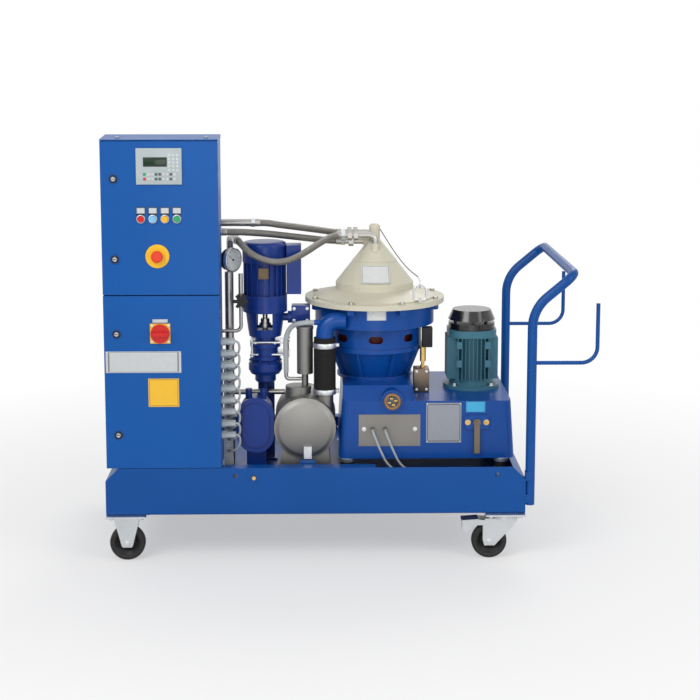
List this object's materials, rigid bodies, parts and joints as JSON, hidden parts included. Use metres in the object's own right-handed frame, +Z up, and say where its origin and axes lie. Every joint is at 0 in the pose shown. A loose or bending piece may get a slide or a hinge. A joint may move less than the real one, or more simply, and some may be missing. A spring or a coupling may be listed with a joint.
{
  "type": "mobile centrifugal oil separator",
  "caption": "Wheeled oil-cleaning module: a blue drip tray carries a control cabinet, feed pump, sludge tank and a disc-bowl separator under a grey cone hood, with a bent push handle.",
  "frame": {"origin": "on the floor, under the middle of the whole bounding box", "axes": "+X toward the push handle, -Y toward the operator at the cabinet doors, +Z up"},
  "size_m": [1.727, 0.8463, 1.497],
  "materials": {
    "cabinet_blue": "smooth semi-gloss royal blue paint",
    "machine_blue": "deep blue gloss paint on castings",
    "motor_blue": "grey-blue motor paint",
    "hood_grey": "warm light grey enamel",
    "bare_steel": "brushed stainless",
    "zinc_steel": "bright zinc plate",
    "black_plastic": "matte black",
    "grey_plastic": "light grey plastic",
    "panel_face": "light grey keypad foil",
    "red_plastic": "red",
    "light_blue_plastic": "pale blue lens",
    "worn_steel": "dark worn steel",
    "yellow_plastic": "yellow",
    "green_plastic": "green",
    "switch_yellow": "yellow plate",
    "switch_red": "red knob",
    "brass_metal": "turned brass",
    "tread_rubber": "black rubber tread",
    "hose_rubber": "black rubber",
    "braid_steel": "woven steel braid",
    "cable_grey": "grey cable sheath",
    "gauge_glass": "clear",
    "belt_rubber": "flat belt",
    "rotor_steel": "machined steel"
  },
  "bodies": {
    "chassis": {"base_tray": "cabinet_blue", "caster_mounts": "zinc_steel", "push_handle": "cabinet_blue", "lower_cabinet": "cabinet_blue", "upper_cabinet": "cabinet_blue", "control_gear": "grey_plastic", "cable_glands": "grey_plastic", "grey_cables": "cable_grey", "drain_plug": "brass_metal", "separator_base": "machine_blue", "separator_feet": "hose_rubber", "inspection_cover": "bare_steel", "sight_glass": "gauge_glass", "bowl_casing": "machine_blue", "frame_hood": "hood_grey", "hood_fittings": "bare_steel", "bowl_bearings": "rotor_steel", "drive_belt": "belt_rubber", "motor_housing": "motor_blue", "fan_cowl": "black_plastic", "feed_motor": "machine_blue", "feed_pump": "machine_blue", "suction_strainer": "machine_blue", "sludge_tank": "bare_steel", "air_vessel": "bare_steel", "process_pipes": "bare_steel", "valve_gear": "machine_blue", "braided_hoses": "braid_steel", "sludge_hose": "hose_rubber"},
    "upper_door": {"upper_door": "cabinet_blue", "operator_panel": "panel_face"},
    "lower_door": {"lower_door": "cabinet_blue", "switch_plate": "switch_yellow"},
    "bowl": {"bowl_spindle": "rotor_steel", "bowl_shell": "bare_steel", "disc_stack": "bare_steel"},
    "rotor": {"motor_rotor": "rotor_steel"},
    "pump_shaft": {"feed_coupling": "rotor_steel"},
    "main_switch": {"main_switch": "switch_red"},
    "estop_button": {"estop_button": "red_plastic"},
    "brake_lever": {"brake_lever": "worn_steel"},
    "flow_handwheel": {"flow_handwheel": "black_plastic"},
    "tank_latch": {"tank_latch": "zinc_steel"},
    "lifting_ring": {"lifting_ring": "zinc_steel"},
    "upper_bottom_lock": {"upper_bottom_lock": "black_plastic"},
    "upper_top_lock": {"upper_top_lock": "black_plastic"},
    "lower_bottom_lock": {"lower_bottom_lock": "black_plastic"},
    "lower_top_lock": {"lower_top_lock": "black_plastic"},
    "red_button": {"red_button": "red_plastic"},
    "light_button": {"light_button": "light_blue_plastic"},
    "yellow_button": {"yellow_button": "yellow_plastic"},
    "green_button": {"green_button": "green_plastic"},
    "front_left_wheel": {"front_left_wheel": "tread_rubber"},
    "rear_left_wheel": {"rear_left_wheel": "tread_rubber"},
    "front_right_wheel": {"front_right_wheel": "tread_rubber"},
    "front_right_fork": {"front_right_fork": "zinc_steel"},
    "front_right_pedal": {"front_right_pedal": "zinc_steel"},
    "rear_right_wheel": {"rear_right_wheel": "tread_rubber"},
    "rear_right_fork": {"rear_right_fork": "zinc_steel"},
    "rear_right_pedal": {"rear_right_pedal": "zinc_steel"}
  },
  "joints": [
    {"name": "upper_door_hinge", "type": "hinge", "parent": "chassis", "child": "upper_door", "pos_m": [-0.4625, -0.384, 1.2185], "axis": [0, 0, 1], "range_deg": [0, 105]},
    {"name": "lower_door_hinge", "type": "hinge", "parent": "chassis", "child": "lower_door", "pos_m": [-0.4625, -0.384, 0.645], "axis": [0, 0, 1], "range_deg": [0, 105]},
    {"name": "upper_bottom_lock_turn", "type": "hinge", "parent": "upper_door", "child": "upper_bottom_lock", "pos_m": [-0.813, -0.4, 1.078], "axis": [0, 1, 0], "range_deg": [0, 90]},
    {"name": "upper_top_lock_turn", "type": "hinge", "parent": "upper_door", "child": "upper_top_lock", "pos_m": [-0.813, -0.4, 1.354], "axis": [0, 1, 0], "range_deg": [0, 90]},
    {"name": "lower_bottom_lock_turn", "type": "hinge", "parent": "lower_door", "child": "lower_bottom_lock", "pos_m": [-0.813, -0.4, 0.46], "axis": [0, 1, 0], "range_deg": [0, 90]},
    {"name": "lower_top_lock_turn", "type": "hinge", "parent": "lower_door", "child": "lower_top_lock", "pos_m": [-0.813, -0.4, 0.817], "axis": [0, 1, 0], "range_deg": [0, 90]},
    {"name": "red_button_press", "type": "slide", "parent": "upper_door", "child": "red_button", "axis": [0, 1, 0], "range_m": [0, 0.004], "stiffness_N_per_m": 500},
    {"name": "light_button_press", "type": "slide", "parent": "upper_door", "child": "light_button", "axis": [0, 1, 0], "range_m": [0, 0.004], "stiffness_N_per_m": 500},
    {"name": "yellow_button_press", "type": "slide", "parent": "upper_door", "child": "yellow_button", "axis": [0, 1, 0], "range_m": [0, 0.004], "stiffness_N_per_m": 500},
    {"name": "green_button_press", "type": "slide", "parent": "upper_door", "child": "green_button", "axis": [0, 1, 0], "range_m": [0, 0.004], "stiffness_N_per_m": 500},
    {"name": "estop_press", "type": "slide", "parent": "upper_door", "child": "estop_button", "axis": [0, 1, 0], "range_m": [0, 0.005], "stiffness_N_per_m": 800},
    {"name": "main_switch_turn", "type": "hinge", "parent": "lower_door", "child": "main_switch", "pos_m": [-0.6625, -0.4, 0.819], "axis": [0, 1, 0], "range_deg": [0, 90]},
    {"name": "bowl_spin", "type": "hinge", "parent": "chassis", "child": "bowl", "pos_m": [0.0895, -0.05, 0.69], "axis": [0, 0, 1], "continuous": true},
    {"name": "motor_spin", "type": "hinge", "parent": "chassis", "child": "rotor", "pos_m": [0.4485, -0.05, 0.553], "axis": [0, 0, 1], "continuous": true},
    {"name": "pump_spin", "type": "hinge", "parent": "chassis", "child": "pump_shaft", "pos_m": [-0.3095, -0.15, 0.765], "axis": [0, 0, 1], "continuous": true},
    {"name": "brake_turn", "type": "hinge", "parent": "chassis", "child": "brake_lever", "pos_m": [0.4467, -0.3, 0.476], "axis": [0, 1, 0], "range_deg": [0, 90]},
    {"name": "flow_turn", "type": "hinge", "parent": "chassis", "child": "flow_handwheel", "pos_m": [-0.392, -0.27, 0.909], "axis": [0, 1, 0], "range_deg": [0, 720]},
    {"name": "latch_turn", "type": "hinge", "parent": "chassis", "child": "tank_latch", "pos_m": [-0.1555, -0.3253, 0.394], "axis": [-1, 0, 0], "range_deg": [0, 90]},
    {"name": "ring_fold", "type": "hinge", "parent": "chassis", "child": "lifting_ring", "pos_m": [0.2455, -0.23, 0.905], "axis": [1, 0, 0], "range_deg": [0, 80]},
    {"name": "front_left_wheel_spin", "type": "hinge", "parent": "chassis", "child": "front_left_wheel", "pos_m": [-0.7935, -0.364, 0.0625], "axis": [0, 1, 0], "continuous": true},
    {"name": "rear_left_wheel_spin", "type": "hinge", "parent": "chassis", "child": "rear_left_wheel", "pos_m": [-0.7935, 0.364, 0.0625], "axis": [0, 1, 0], "continuous": true},
    {"name": "front_right_swivel", "type": "hinge", "parent": "chassis", "child": "front_right_fork", "pos_m": [0.5415, -0.364, 0.163], "axis": [0, 0, 1], "continuous": true},
    {"name": "front_right_wheel_spin", "type": "hinge", "parent": "front_right_fork", "child": "front_right_wheel", "pos_m": [0.4875, -0.364, 0.0625], "axis": [0, 1, 0], "continuous": true},
    {"name": "front_right_brake", "type": "hinge", "parent": "front_right_fork", "child": "front_right_pedal", "pos_m": [0.4755, -0.364, 0.132], "axis": [0, -1, 0], "range_deg": [0, 12]},
    {"name": "rear_right_swivel", "type": "hinge", "parent": "chassis", "child": "rear_right_fork", "pos_m": [0.5415, 0.364, 0.163], "axis": [0, 0, 1], "continuous": true},
    {"name": "rear_right_wheel_spin", "type": "hinge", "parent": "rear_right_fork", "child": "rear_right_wheel", "pos_m": [0.4875, 0.364, 0.0625], "axis": [0, 1, 0], "continuous": true},
    {"name": "rear_right_brake", "type": "hinge", "parent": "rear_right_fork", "child": "rear_right_pedal", "pos_m": [0.4755, 0.364, 0.132], "axis": [0, -1, 0], "range_deg": [0, 12]}
  ],
  "couplings": [
    {"joint": "motor_spin", "follows": "bowl_spin", "ratio": 0.33333}
  ]
}
